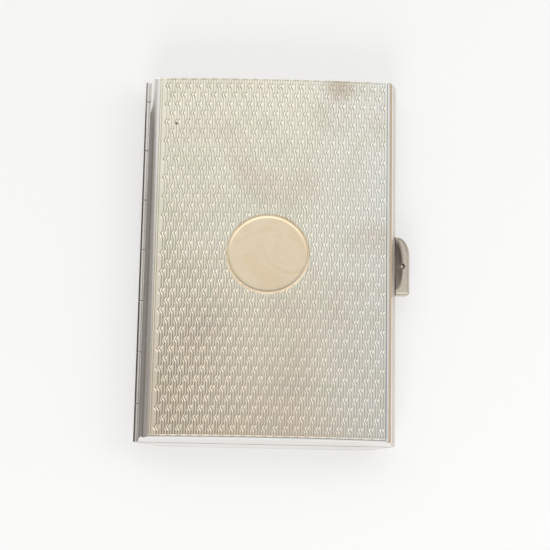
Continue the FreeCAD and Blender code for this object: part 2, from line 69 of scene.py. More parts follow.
# The hollow round the hinge tube, the sheet's thickness, the rounding of a cover's ends, and the
# angle from which an edge is kept sharp.
GROOVE_RADIUS = KNUCKLE_RADIUS + 0.02
GAUGE = 0.7
END_ROUND = 0.55
SHARP_DEGREES = 35.0


# ---------------------------------------------------------------- mesh helpers


def make_object(
    name, points_mm, faces, materials, indices=None, sharp_degrees=SHARP_DEGREES, depth=None
):
    """A smooth-shaded mesh object from points in millimetres."""
    mesh = bpy.data.meshes.new(name)
    mesh.from_pydata((np.asarray(points_mm) * MM).tolist(), [], faces)
    for material in materials:
        mesh.materials.append(material)
    if indices is not None:
        mesh.polygons.foreach_set("material_index", np.asarray(indices, dtype=np.int32))
    # depth fills the point attribute that darkens the finish: grime in the covers' cuts, painted shade on
    # the knuckles and on the thumb tab.
    if depth is not None:
        layer = mesh.attributes.new("grime_and_painted_shade", "FLOAT", "POINT")
        layer.data.foreach_set("value", np.asarray(depth, dtype=np.float32))
    mesh.update()
    mesh.validate()
    mesh.shade_smooth()
    mesh.set_sharp_from_angle(angle=math.radians(sharp_degrees))
    piece = bpy.data.objects.new(name, mesh)
    bpy.context.scene.collection.objects.link(piece)
    return piece


def apply_modifiers(piece):
    """Replaces a piece's mesh by its evaluated one and drops its modifiers."""
    graph = bpy.context.evaluated_depsgraph_get()
    mesh = bpy.data.meshes.new_from_object(piece.evaluated_get(graph), depsgraph=graph)
    piece.modifiers.clear()
    piece.data = mesh


def grid_faces(columns, rows, start=0, flip=False):
    """Quads of a grid whose points are stored row by row."""
    i, j = np.meshgrid(np.arange(columns - 1), np.arange(rows - 1))
    a = start + j * columns + i
    quads = np.stack([a, a + 1, a + 1 + columns, a + columns], axis=-1).reshape(-1, 4)
    if flip:
        quads = quads[:, ::-1]
    return quads.tolist()


class Parts:
    """Collects points, faces, material indices and cut depths of one mesh."""

    def __init__(self):
        self.points = []
        self.faces = []
        self.indices = []
        self.depth = []

    def add(self, points, faces, index, depth=None):
        start = len(self.points)
        self.points.extend(np.asarray(points).tolist())
        self.faces.extend([[v + start for v in face] for face in faces])
        if isinstance(index, int):
            index = [index] * len(faces)
        self.indices.extend(index)
        self.depth.extend([0.0] * len(points) if depth is None else list(depth))

    def build(self, name, materials, sharp_degrees):
        return make_object(
            name, self.points, self.faces, materials, self.indices, sharp_degrees, self.depth
        )


# ---------------------------------------------------------------- cross-section of the covers


class Side:
    """One side of a half's outside: crown, shoulder arc, then a facet down to the seat.

    A crown_radius of 0 stands for a flat crown.
    """

    def __init__(self, up, seat, top, crown_radius, shoulder, crown_end, tip, bulge):
        self.up = up
        self.top = top
        self.crown_radius = crown_radius
        self.shoulder = shoulder
        self.bulge = bulge
        self.lean = math.asin(crown_end / crown_radius) if crown_radius else 0.0
        drop = crown_radius * (1 - math.cos(self.lean)) if crown_radius else 0.0
        self.centre_x = crown_end - shoulder * math.sin(self.lean)
        self.centre_z = top - up * (drop + shoulder * math.cos(self.lean))
        away_x = tip - self.centre_x
        away_z = up * (seat - self.centre_z)
        reach = math.hypot(away_x, away_z)
        self.turn = math.atan2(away_x, away_z) - math.acos(shoulder / reach)
        self.crown_length = crown_radius * self.lean if crown_radius else crown_end
        self.facet_start = self.crown_length + shoulder * (self.turn - self.lean)
        self.facet_length = math.sqrt(reach * reach - shoulder * shoulder)
        self.edge = self.facet_start + self.facet_length

    def at(self, far, height):
        """Distance out and z of the surface at arc length far, raised along its normal."""
        if self.crown_radius:
            lean = far / self.crown_radius
            x = self.crown_radius * np.sin(lean)
            z = self.top - self.up * self.crown_radius * (1 - np.cos(lean))
        else:
            lean = np.zeros_like(far)
            x = far
            z = np.full_like(far, self.top)
        bend = self.lean + (far - self.crown_length) / self.shoulder
        on_shoulder = far > self.crown_length
        x = np.where(on_shoulder, self.centre_x + self.shoulder * np.sin(bend), x)
        z = np.where(on_shoulder, self.centre_z + self.up * self.shoulder * np.cos(bend), z)
        lean = np.where(on_shoulder, bend, lean)
        along = far - self.facet_start
        on_facet = along > 0
        start_x = self.centre_x + self.shoulder * math.sin(self.turn)
        start_z = self.centre_z + self.up * self.shoulder * math.cos(self.turn)
        x = np.where(on_facet, start_x + along * math.cos(self.turn), x)
        z = np.where(on_facet, start_z - self.up * along * math.sin(self.turn), z)
        lean = np.where(on_facet, self.turn, lean)
        share = np.clip(along / self.facet_length, 0, 1)
        height = height + self.bulge * np.sin(math.pi * share) * on_facet
        return x + np.sin(lean) * height, z + self.up * np.cos(lean) * height


class Profile:
    """A half's outer cross-section, walked by the arc length u from its middle line.

    back and front say how far out the crown and the seat reach on the hinge's and the tab's side.
    """

    STEPS = 40001

    def __init__(self, up, seat, top, crown_radius, shoulder, back, front, bulge):
        self.up = up
        self.seat = seat
        self.top = top
        self.crown_radius = crown_radius
        self.back = Side(up, seat, top, crown_radius, shoulder, *back, bulge)
        self.front = Side(up, seat, top, crown_radius, shoulder, *front, bulge)

    def at(self, u, height=0.0):
        """Points (x, z) of the surface at u, raised by height along the normal."""
        u = np.asarray(u, dtype=float)
        back_x, back_z = self.back.at(np.abs(u), height)
        front_x, front_z = self.front.at(np.abs(u), height)
        return np.where(u < 0, -back_x, front_x), np.where(u < 0, back_z, front_z)

    def steps(self):
        """Arc lengths in fine steps, from the seat on the hinge's side to the one on the tab's side."""
        return np.linspace(-self.back.edge, self.front.edge, self.STEPS)

    def u_at_x(self, x):
        """Arc length at which the surface has this x."""
        steps = self.steps()
        return float(np.interp(x, self.at(steps)[0], steps))

    def hinge_end(self, height):
        """Arc length at which the raised surface meets the hollow of the hinge tube or the seat."""
        steps = self.steps()
        steps = steps[steps < -self.back.crown_length]
        x, z = self.at(steps, height)
        blocked = np.hypot(x - HINGE_X, z - HINGE_Z) < GROOVE_RADIUS
        blocked |= self.up * (z - self.seat) < 0
        return float(steps[np.where(blocked)[0].max() + 1]) if blocked.any() else float(steps[0])


LID = Profile(
    up=1,
    seat=LID_LOW[2],
    top=LID_HIGH[2],
    crown_radius=383.0,
    shoulder=2.6,
    back=(27.65, -LID_LOW[0]),
    front=(28.4, TIP),
    bulge=0.05,
)
BASE = Profile(
    up=-1,
    seat=BASE_HIGH[2],
    top=BASE_LOW[2],
    crown_radius=0.0,
    shoulder=10.0,
    back=(22.0, TIP),
    front=(22.0, TIP),
    bulge=0.08,
)


# ---------------------------------------------------------------- covers

# The covers' materials, in the order in which make_cover lists them.
PLAIN, GILT, TURNED, DISC, SATIN = range(5)

# The plain sheet: its recess for the turned panel, which reaches the round at the head end, the
# lip of its front edge, and how far above the facet the satin finish starts.
PANEL_LEFT = -27.75
PANEL_RIGHT = 29.3
PANEL_END = HALF_LENGTH - 0.58
PANEL_HEAD = HALF_LENGTH - END_ROUND
RECESS = 0.14
RECESS_STEP = 0.01
LIP = 0.12
SATIN_START = 0.35

# Rows round a cover's end and as many to its middle, and points across the hinge tube's hollow.
END_STEPS = 6
HOLLOW_STEPS = 8

# The motif: two cuts side by side that kink together. In one row the even columns kink, in the
# next one the odd ones.
COLUMN_PITCH = 2.56
ROW_PITCH = 2.435
LINES_PER_MOTIF = 2
LINE_SPACING = COLUMN_PITCH / 2 / LINES_PER_MOTIF
FIRST_MOTIF = 1.55
LAST_MOTIF = 1.0

# A cut's width, depth and grime, where it runs straight and in a kink. Its lean is the share of
# the width that the wall on the tab's side takes.
STRAIGHT_WIDTH = 0.5
KINK_WIDTH = 0.62
STRAIGHT_DEPTH = 0.045
KINK_DEPTH = 0.13
STRAIGHT_GRIME = 0.9
KINK_GRIME = 1.1
STRAIGHT_LEAN = 0.6

# A kink's reach sideways, how much that varies, and its rows of points: place along the case,
# shares of the reach and of the extra width, depth and grime, and lean.
KINK = 0.44
KINK_SPREAD = 0.04
KINK_ROWS = (
    (-0.92, 0.0, 0.0, STRAIGHT_LEAN),
    (-0.76, 0.04, 0.5, 0.38),
    (-0.1, 0.95, 1.0, 0.36),
    (0.06, 0.95, 1.0, 0.65),
    (0.7, 0.04, 0.5, 0.65),
    (0.88, 0.0, 0.0, STRAIGHT_LEAN),
)

# Plain cuts along the panel's left and right borders: distance from the border, width of one
# wall, depth and grime.
LEFT_CUTS = (0.12, 0.6)
LEFT_CUT_WALL = 0.1
LEFT_CUT_DEPTH = 0.05
RIGHT_CUT = 0.16
RIGHT_CUT_WALL = 0.12
RIGHT_CUT_DEPTH = 0.09
RIGHT_CUT_GRIME = 1.5

# Between two cuts: the least flat that is left, the width from which a flat has columns of its
# own, and how far these are from the cuts.
LEAST_FLAT = 0.008
WIDE_FLAT = 0.3
FLAT_COLUMN = 0.04

# The cartouche: the hollow in the pattern, the disc that covers it, and how near and how close
# together the pattern's rows are refined.
RESERVE_RADIUS = 10.1
RESERVE_DEPTH = 0.1
DISC_RADIUS = 10.42
DISC_THICKNESS = 0.4
NEAR_DISC = RESERVE_RADIUS + 1.0
LONGEST_STEP_NEAR_DISC = 0.4


def closing_points(profile, outer_start, inner_start):
    """The hinge edge of a section: from the inner wall round the tube's hollow to the outer one."""
    out_x, out_z = profile.at(outer_start)
    in_x, in_z = profile.at(inner_start, -GAUGE)
    points = []
    if math.hypot(in_x - HINGE_X, in_z - HINGE_Z) > GROOVE_RADIUS + 0.01:
        rise = profile.seat - HINGE_Z
        in_x = HINGE_X + math.sqrt(GROOVE_RADIUS**2 - rise**2)
        in_z = profile.seat
        points.append((in_x, in_z))
    start = math.atan2(in_z - HINGE_Z, in_x - HINGE_X)
    stop = math.atan2(out_z - HINGE_Z, out_x - HINGE_X)
    for angle in np.linspace(start, stop, HOLLOW_STEPS)[1:-1]:
        x = HINGE_X + GROOVE_RADIUS * math.cos(angle)
        z = HINGE_Z + GROOVE_RADIUS * math.sin(angle)
        points.append((x, z))
    return points


def end_rows():
    """Rows of a cover along Y as (y, how far the rolled end sinks, whether the panel is there)."""
    rows = []
    for bend in np.radians(np.linspace(90, 0, END_STEPS)):
        y = HALF_LENGTH - END_ROUND + END_ROUND * math.sin(bend)
        rows.append((y, END_ROUND * (1 - math.cos(bend)), False))
    rows.append((PANEL_END - 2 * RECESS_STEP, 0.0, True))
    rows.extend((y, 0.0, True) for y in np.linspace(PANEL_END - 1.0, 0, END_STEPS))
    return rows + [(-y, sink, flag) for y, sink, flag in reversed(rows[:-1])]


def cover_shell(parts, profile):
    """The plain sheet of a cover: outside with a recess for the turned panel, edges and inside."""
    left = profile.u_at_x(PANEL_LEFT)
    right = profile.u_at_x(PANEL_RIGHT)
    start = profile.hinge_end(0.0)
    end = profile.front.edge - LIP
    spans = (
        (start, left, 30, False),
        (left + RECESS_STEP, right - RECESS_STEP, 100, True),
        (right, end, 26, False),
    )
    outer = np.concatenate([np.linspace(low, high, steps) for low, high, steps, _ in spans])
    recessed = np.concatenate([np.full(steps, flag) for _, _, steps, flag in spans])
    inner_start = profile.hinge_end(-GAUGE)
    inner_end = profile.front.edge - GAUGE / math.tan(profile.front.turn)
    marks = [start, -profile.back.facet_start, profile.front.facet_start, end]
    inner = np.interp(outer, marks, [inner_start, *marks[1:3], inner_end])
    in_x, in_z = profile.at(inner, -GAUGE)
    in_z[-1] = profile.seat
    up = profile.up
    closing = np.array(closing_points(profile, start, inner_start))
    rows = end_rows()
    rings = []
    for y, sink, flagged in rows:
        x, z = profile.at(outer, -sink - RECESS * (recessed & flagged))
        corner_x, _ = profile.at(profile.front.edge - LIP / 6, -sink)
        corner_z = profile.seat + up * LIP * 5 / 12
        ring_x = np.concatenate([x, [corner_x, corner_x - LIP / 2], in_x[::-1], closing[:, 0]])
        ring_z = np.concatenate([z, [corner_z, profile.seat], in_z[::-1], closing[:, 1]])
        rings.append(np.stack([ring_x, np.full_like(ring_x, y), ring_z], axis=1))
    count = len(outer)
    side_start = int(np.searchsorted(outer, profile.front.facet_start - SATIN_START))
    ring = len(rings[0])
    faces = []
    indices = []
    for r in range(len(rows) - 1):
        for i in range(ring):
            j = (i + 1) % ring
            a = r * ring
            face = [a + i, a + j, a + ring + j, a + ring + i]
            faces.append(face if up < 0 else face[::-1])
            on_side = up > 0 and side_start <= i < count + 1
            inside = count + 2 <= i < 2 * count + 1
            indices.append(GILT if inside else SATIN if on_side else PLAIN)
    mirror = 2 * count + 1
    for row, reverse in ((0, up < 0), (len(rows) - 1, up > 0)):
        a = row * ring
        caps = [[a + i, a + i + 1, a + mirror - i - 1, a + mirror - i] for i in range(count - 1)]
        caps.append([a + count - 1, a + count, a + count + 1, a + count + 2])
        caps.append([a, a + mirror] + [a + k for k in range(mirror + 1, ring)])
        for face in caps:
            faces.append(face[::-1] if reverse else face)
            indices.append(PLAIN)
    parts.add(np.concatenate(rings), faces, indices)


def kink_rows():
    """Rows of the panel: y, then KINK_ROWS' shares and lean for even columns and for odd ones."""
    straight = (0.0, 0.0, STRAIGHT_LEAN)
    rows = [(-PANEL_END, *straight, *straight)]
    pitches = math.ceil(PANEL_END / ROW_PITCH)
    for pitch in range(-pitches, pitches + 1):
        for offset, *shares in KINK_ROWS:
            y = pitch * ROW_PITCH + offset
            if abs(y) < PANEL_END - 0.05:
                rows.append((y, *shares, *straight) if pitch % 2 == 0 else (y, *straight, *shares))
    return rows + [(PANEL_HEAD, *straight, *straight)]


def halve_long_steps(rows, reach, longest):
    """Adds a row between any two that are further apart than longest and end within reach of the middle."""
    halved = [rows[0]]
    for before, after in zip(rows, rows[1:]):
        if after[0] - before[0] > longest and abs(after[0]) < reach:
            halved.append((before + after) / 2)
        halved.append(after)
    return np.array(halved)


def panel_cuts(rows, left, right, seed):
    """The cuts from left to right, as (middle, widths of both walls, depth, grime) along the rows."""
    rng = random.Random(seed)
    full = np.ones(len(rows))
    walls = (LEFT_CUT_WALL, LEFT_CUT_WALL)
    cuts = [(left + offset * full, walls, LEFT_CUT_DEPTH * full, full) for offset in LEFT_CUTS]
    first = math.ceil((left + FIRST_MOTIF) / (COLUMN_PITCH / 2))
    last = math.floor((right - LAST_MOTIF) / (COLUMN_PITCH / 2))
    for group in range(first, last + 1):
        own = 1 + 3 * (group % 2)
        bend, share, lean = rows[:, own : own + 3].T
        for line in range(LINES_PER_MOTIF):
            offset = (line - (LINES_PER_MOTIF - 1) / 2) * LINE_SPACING
            shift = KINK * (1 + KINK_SPREAD * rng.uniform(-1, 1)) * bend
            depth = STRAIGHT_DEPTH + (KINK_DEPTH - STRAIGHT_DEPTH) * share
            width = STRAIGHT_WIDTH + (KINK_WIDTH - STRAIGHT_WIDTH) * share
            walls = (width * (1 - lean), width * lean)
            grime = STRAIGHT_GRIME + (KINK_GRIME - STRAIGHT_GRIME) * share
            cuts.append((group * COLUMN_PITCH / 2 + offset - shift, walls, depth, grime))
    walls = (RIGHT_CUT_WALL, RIGHT_CUT_WALL)
    cuts.append(((right - RIGHT_CUT) * full, walls, RIGHT_CUT_DEPTH * full, RIGHT_CUT_GRIME * full))
    return cuts


def cut_columns(cuts):
    """Columns of points across the panel, as (u, height, grime) along the rows: three for each cut."""
    columns = []
    full = np.ones_like(cuts[0][0])
    level = 0 * full
    for number, (middle, (left_wall, right_wall), depth, grime) in enumerate(cuts):
        before = middle - cuts[number - 1][0] if number else full
        after = cuts[number + 1][0] - middle if number + 1 < len(cuts) else full
        width = left_wall + right_wall
        low_side = np.minimum(left_wall, before * left_wall / width - LEAST_FLAT)
        high_side = np.minimum(right_wall, after * right_wall / width - LEAST_FLAT)
        if np.min(before - low_side) > WIDE_FLAT:
            columns.append((middle - low_side - FLAT_COLUMN, level, level))
        columns.append((middle - low_side, -depth * (1 - low_side / left_wall), level))
        columns.append((middle, -depth, grime))
        columns.append((middle + high_side, -depth * (1 - high_side / right_wall), level))
        if np.min(after - high_side) > WIDE_FLAT:
            columns.append((middle + high_side + FLAT_COLUMN, level, level))
    return columns


def slab_faces(wide, tall, up):
    """Faces of a grid of points, and of its sides down to a lower copy of the first and last rows."""
    low = wide * tall
    far = low - wide
    side = []
    for i in range(wide - 1):
        side.append([i + 1, i, low + i, low + i + 1])
        side.append([far + i, far + i + 1, low + wide + i + 1, low + wide + i])
    side.append([r * wide for r in range(tall)] + [low + wide, low])
    side.append([r * wide + wide - 1 for r in reversed(range(tall))] + [low + wide - 1, low + 2 * wide - 1])
    if not up:
        side = [face[::-1] for face in side]
    return grid_faces(wide, tall, flip=not up) + side


def turned_panel(parts, profile, reserve, seed):
    """The engine-turned field: straight cuts that kink side by side, in staggered rows."""
    left = profile.u_at_x(PANEL_LEFT)
    right = profile.u_at_x(PANEL_RIGHT)
    rows = np.array(kink_rows())
    if reserve:
        rows = halve_long_steps(rows, NEAR_DISC, LONGEST_STEP_NEAR_DISC)
    v = rows[:, 0]
    level = 0 * v
    cuts = cut_columns(panel_cuts(rows, left, right, seed))
    columns = [(left + level, level, level), *cuts, (right + level, level, level)]
    u, height, deep = (np.stack(values, axis=1) for values in zip(*columns))
    for values in (height, deep):
        values[[0, -1]] = 0.0
    if reserve:
        x, _ = profile.at(u)
        hidden = np.hypot(x, v[:, None]) < RESERVE_RADIUS
        height[hidden] = -RESERVE_DEPTH
        deep[hidden] = 0.0
    x, z = profile.at(u, height)
    top = np.stack([x, np.broadcast_to(v[:, None], x.shape), z], axis=2)
    low_x, low_z = profile.at(u[[0, -1]], -RECESS * 2)
    bottom = np.stack([low_x, np.broadcast_to(v[[0, -1], None], low_x.shape), low_z], axis=2)
    points = np.concatenate([top.reshape(-1, 3), bottom.reshape(-1, 3)])
    depth = np.concatenate([deep.reshape(-1), np.zeros(2 * len(columns))])
    parts.add(points, slab_faces(len(columns), len(v), profile.up > 0), TURNED, depth)


def cartouche(parts):
    """The blank disc in the middle of the lid, with two ring cuts and a rolled edge."""
    rings = (
        (3.0, 0.0, 0.0),
        (6.0, 0.0, 0.0),
        (8.6, 0.0, 0.0),
        (9.2, 0.0, 0.0),
        (9.3, -0.004, 0.0),
        (9.68, -0.05, 0.1),
        (9.74, -0.065, 0.8),
        (9.8, -0.015, 0.1),
        (9.87, 0.0, 0.0),
        (10.02, -0.005, 0.1),
        (10.12, -0.075, 1.0),
        (10.2, -0.01, 0.3),
        (10.27, 0.006, 0.0),
        (10.36, 0.004, 0.0),
        (DISC_RADIUS, -0.12, 0.6),
        (DISC_RADIUS, -0.3, 0.0),
    )
    around = 180
    angles = np.linspace(0, 2 * math.pi, around, endpoint=False)
    points = []
    depth = []
    for radius, height, deep in rings:
        x = radius * np.cos(angles)
        y = radius * np.sin(angles)
        surface = LID.top - LID.crown_radius * (1 - np.cos(np.arcsin(x / LID.crown_radius)))
        points.append(np.stack([x, y, surface + height], axis=1))
        depth.extend([deep] * around)
    centres = [[0, 0, LID.top], [0, 0, LID.top - DISC_THICKNESS]]
    points = np.concatenate([*points, np.array(centres)])
    depth.extend([0.0, 0.0])
    faces = []
    indices = []
    for r in range(len(rings) - 1):
        for i in range(around):
            j = (i + 1) % around
            faces.append([r * around + i, (r + 1) * around + i, (r + 1) * around + j, r * around + j])
            indices.append(DISC if rings[r + 1][0] < DISC_RADIUS else PLAIN)
    middle = len(rings) * around
    last = middle - around
    for i in range(around):
        j = (i + 1) % around
        faces.append([middle, i, j])
        indices.append(DISC)
        faces.append([middle + 1, last + j, last + i])
        indices.append(PLAIN)
    parts.add(points, faces, indices, depth)


# ---------------------------------------------------------------- materials

SILVER = (0.96, 0.92, 0.775)
TARNISH = (0.56, 0.49, 0.38)
GRIME = (0.2, 0.175, 0.14)
SCRATCH_DEPTH = 0.00003

# Tones of the turned silver. Taupe grows towards the foot end and the hinge, with a cloudy border,
# and the cool tone towards the tab; both run over twice their reach about the middle.
TAUPE = (0.93, 0.8, 0.63)
TAUPE_REACH = 60.0
TAUPE_SLOPE = 0.45
TAUPE_DRIFT = 50.0
COOL = (0.9, 0.91, 0.86)
COOL_REACH = 30.0
GREENISH = (0.82, 0.85, 0.66)
ROSE = (0.86, 0.74, 0.64)

# A small dark pit and a brown stain by the head end: place, distances between which it fades out,
# colour and strength. The ramp that fades them spans SPOT_SPAN.
SPOT_SPAN = 10.0
SPOTS = (
    ((-23.4, 33.9, 9.6), (0.25, 0.5), (0.05, 0.045, 0.04), 0.95),
    ((17.0, 44.5, 9.6), (1.5, 5.0), (0.42, 0.31, 0.2), 0.4),
)


def node(tree, kind, **values):
    """A new node; each value is for an input, or else for one of the node's own settings."""
    made = tree.nodes.new(kind)
    for key, value in values.items():
        if key in made.inputs:
            made.inputs[key].default_value = value
        else:
            setattr(made, key, value)
    return made


def link(tree, source, target):
    tree.links.new(source, target)


def noise(tree, vector, scale, detail, roughness, swirl=0.0):
    """Noise of 0 to 1; scale is its frequency per unit of the vector."""
    made = node(tree, "ShaderNodeTexNoise", Scale=scale, Detail=detail, Roughness=roughness)
    made.inputs["Distortion"].default_value = swirl
    link(tree, vector, made.inputs["Vector"])
    return made.outputs["Fac"]


def ramp(tree, value, *stops):
    """Maps a value through (position, colour) stops; a colour may be one number."""
    made = node(tree, "ShaderNodeValToRGB")
    elements = made.color_ramp.elements
    while len(elements) < len(stops):
        elements.new(0.5)
    for element, (position, colour) in zip(elements, stops):
        element.position = position
        element.color = (*colour, 1.0) if isinstance(colour, tuple) else (colour, colour, colour, 1.0)
    link(tree, value, made.inputs["Fac"])
    return made.outputs["Color"]


def mix(tree, share, first, second, blend="MIX"):
    """Mixes two colours; first and second are sockets or colours."""
    made = node(tree, "ShaderNodeMix", data_type="RGBA", blend_type=blend)
    colours = [s for s in made.inputs if s.type == "RGBA"]
    factor = made.inputs[0]
    for socket, given in ((colours[0], first), (colours[1], second)):
        if isinstance(given, bpy.types.NodeSocket):
            link(tree, given, socket)
        else:
            socket.default_value = (*given, 1.0)
    if isinstance(share, bpy.types.NodeSocket):
        link(tree, share, factor)
    else:
        factor.default_value = share
    return next(s for s in made.outputs if s.type == "RGBA")


def math_node(tree, operation, first, second):
    """An operation on two values, each a socket or a number."""
    made = node(tree, "ShaderNodeMath", operation=operation)
    for socket, given in zip(made.inputs, (first, second)):
        if isinstance(given, bpy.types.NodeSocket):
            link(tree, given, socket)
        else:
            socket.default_value = given
    return made.outputs[0]


def stretched(tree, scale):
    """Object coordinates in millimetres, squeezed along each axis by scale."""
    place = node(tree, "ShaderNodeTexCoord")
    mapping = node(tree, "ShaderNodeMapping", Scale=tuple(s / MM for s in scale))
    link(tree, place.outputs["Object"], mapping.inputs["Vector"])
    return mapping.outputs["Vector"]


def metal(name, colour, dark, roughness, tarnish, scratch, cut=None, zones=False, clouds=None):
    """Worn metal: tarnish in patches and in the cuts, fine scratches, uneven polish.

    cut is the colour, strength and power of the darkening that a mesh's point attribute brings: grime in
    the covers' cuts, painted shade on the knuckles and on the thumb tab.
    """
    made = bpy.data.materials.new(name)
    made.use_nodes = True
    tree = made.node_tree
    shader = tree.nodes["Principled BSDF"]
    shader.inputs["Metallic"].default_value = 1.0
    even = stretched(tree, (1, 1, 1))
    patches = noise(tree, even, scale=0.055, detail=4.0, roughness=0.55)
    specks = noise(tree, even, scale=0.9, detail=5.0, roughness=0.6)
    if zones:
        colour = tarnish_zones(tree, even, colour)
    if clouds is not None:
        wide = stretched(tree, (0.1, 0.1, 0.1))
        wisps = noise(tree, wide, scale=1.0, detail=1.0, roughness=0.4, swirl=2.5)
        colour = mix(tree, ramp(tree, wisps, (0.42, 0.0), (0.62, 0.7)), colour, clouds)
    share = ramp(tree, patches, (0.35, 0.0), (0.7, tarnish))
    tint = mix(tree, share, colour, dark)
    fine = ramp(tree, specks, (0.45, 0.0), (0.8, tarnish * 0.5))
    tint = mix(tree, fine, tint, dark)
    if cut is not None:
        grime_and_shade_colour, strength, power = cut
        # The attribute darkens the tint: grime in the covers' cuts, painted shade on the knuckles and on
        # the thumb tab.
        attribute = node(tree, "ShaderNodeAttribute", attribute_name="grime_and_painted_shade")
        grime = math_node(tree, "POWER", attribute.outputs["Fac"], power)
        grime = math_node(tree, "MULTIPLY", grime, strength)
        tint = mix(tree, grime, tint, grime_and_shade_colour)
    if zones:
        tint = add_spots(tree, even, tint)
    link(tree, tint, shader.inputs["Base Color"])
    along = noise(tree, stretched(tree, (6.0, 0.25, 6.0)), scale=1.0, detail=3.0, roughness=0.6)
    across = noise(tree, stretched(tree, (0.5, 7.0, 7.0)), scale=1.0, detail=2.0, roughness=0.6)
    marks = math_node(tree, "ADD", along, across)
    polish = ramp(tree, marks, (0.7, roughness * 0.75), (1.3, roughness * 1.35))
    link(tree, polish, shader.inputs["Roughness"])
    bump = node(tree, "ShaderNodeBump", Strength=scratch, Distance=SCRATCH_DEPTH)
    link(tree, marks, bump.inputs["Height"])
    link(tree, bump.outputs["Normal"], shader.inputs["Normal"])
    return made


def tarnish_zones(tree, vector, tint):
    """Broad tones of the turned silver: taupe low by the hinge, greyer along the tab's side."""
    split = node(tree, "ShaderNodeSeparateXYZ")
    link(tree, vector, split.inputs[0])
    cloud = noise(tree, vector, scale=0.045, detail=2.0, roughness=0.5)
    drift = math_node(tree, "MULTIPLY", math_node(tree, "SUBTRACT", cloud, 0.5), TAUPE_DRIFT)
    slope = math_node(tree, "MULTIPLY", split.outputs["X"], -TAUPE_SLOPE)
    low = math_node(tree, "SUBTRACT", slope, split.outputs["Y"])
    low = math_node(tree, "ADD", math_node(tree, "ADD", low, drift), TAUPE_REACH)
    share = ramp(tree, math_node(tree, "DIVIDE", low, 2 * TAUPE_REACH), (0.42, 0.0), (0.9, 0.9))
    tint = mix(tree, share, tint, TAUPE)
    right = math_node(tree, "ADD", split.outputs["X"], COOL_REACH)
    share = ramp(tree, math_node(tree, "DIVIDE", right, 2 * COOL_REACH), (0.62, 0.0), (0.98, 0.75))
    tint = mix(tree, share, tint, COOL)
    green = noise(tree, vector, scale=0.11, detail=2.0, roughness=0.5)
    tint = mix(tree, ramp(tree, green, (0.5, 0.0), (0.72, 0.4)), tint, GREENISH)
    rose = noise(tree, vector, scale=0.083, detail=2.0, roughness=0.4)
    return mix(tree, ramp(tree, rose, (0.52, 0.0), (0.75, 0.5)), tint, ROSE)


def add_spots(tree, vector, tint):
    """The lid's blemishes over the tint."""
    for middle, (full, none), colour, share in SPOTS:
        gap = node(tree, "ShaderNodeVectorMath", operation="DISTANCE")
        link(tree, vector, gap.inputs[0])
        gap.inputs[1].default_value = middle
        distance = math_node(tree, "DIVIDE", gap.outputs["Value"], SPOT_SPAN)
        amount = ramp(tree, distance, (full / SPOT_SPAN, share), (none / SPOT_SPAN, 0.0))
        tint = mix(tree, amount, tint, colour)
    return tint


turned_silver = metal(
    "turned_silver",
    colour=SILVER,
    dark=TARNISH,
    roughness=0.13,
    tarnish=0.12,
    scratch=0.3,
    cut=(GRIME, 0.7, 3.2),
    zones=True,
)
plain_silver = metal(
    "plain_silver",
    colour=(0.93, 0.92, 0.895),
    dark=TARNISH,
    roughness=0.1,
    tarnish=0.12,
    scratch=0.3,
    cut=(GRIME, 0.6, 2.0),
)
disc_silver = metal(
    "disc_silver",
    colour=(0.98, 0.83, 0.605),
    dark=TARNISH,
    roughness=0.14,
    tarnish=0.05,
    scratch=0.3,
    cut=(GRIME, 0.6, 2.0),
    clouds=(0.95, 0.77, 0.52),
)
satin_silver = metal(
    "satin_silver", colour=(0.9, 0.885, 0.86), dark=TARNISH, roughness=0.5, tarnish=0.15, scratch=0.4
)
hinge_silver = metal(
    "hinge_silver",
    colour=(0.86, 0.84, 0.81),
    dark=(0.3, 0.27, 0.24),
    roughness=0.12,
    tarnish=0.2,
    scratch=0.4,
    # The cut colour is painted shade on the knuckles' side that faces -X.
    cut=((0.24, 0.215, 0.195), 0.85, 2.0),
)
gilt = metal(
    "gilt", colour=(0.93, 0.74, 0.42), dark=(0.62, 0.42, 0.18), roughness=0.24, tarnish=0.3, scratch=0.4
)
tab_silver = metal(
    "tab_silver",
    colour=(0.8, 0.74, 0.63),
    dark=(0.42, 0.35, 0.28),
    roughness=0.2,
    tarnish=0.5,
    scratch=0.5,
    # The cut colour is painted shade in and round the thumb scoop and under the tab.
    cut=((0.15, 0.125, 0.11), 0.9, 2.0),
)
wire_steel = metal(
    "wire_steel", colour=(0.62, 0.6, 0.57), dark=(0.3, 0.26, 0.22), roughness=0.3, tarnish=0.3, scratch=0.3
)


# ---------------------------------------------------------------- the covers as pieces

COVER_SHARP_DEGREES = 28.0


def make_cover(name, profile, node_name, body, with_disc, seed):
    """A cover as one mesh; the cuts' facets are shaded flat, so that each catches the light by itself."""
    parts = Parts()
    cover_shell(parts, profile)
    turned_panel(parts, profile, with_disc, seed)
    if with_disc:
        cartouche(parts)
    materials = [plain_silver, gilt, turned_silver, disc_silver, satin_silver]
    piece = parts.build(name, materials, COVER_SHARP_DEGREES)
    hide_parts(node_name)
    smooth = [face.material_index != TURNED for face in piece.data.polygons]
    piece.data.polygons.foreach_set("use_smooth", smooth)
    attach(piece, body)


make_cover("lid_turned_cover", LID, "lid_cover", "lid", True, 11)
make_cover("base_turned_cover", BASE, "base_cover", "base", False, 23)


# ---------------------------------------------------------------- end walls

# How far a wall stands back from the cover's end, and how far it reaches into the sheet.
WALL_INSET = 0.015
WALL_TUCK = 0.08
WALL_STEPS = 110


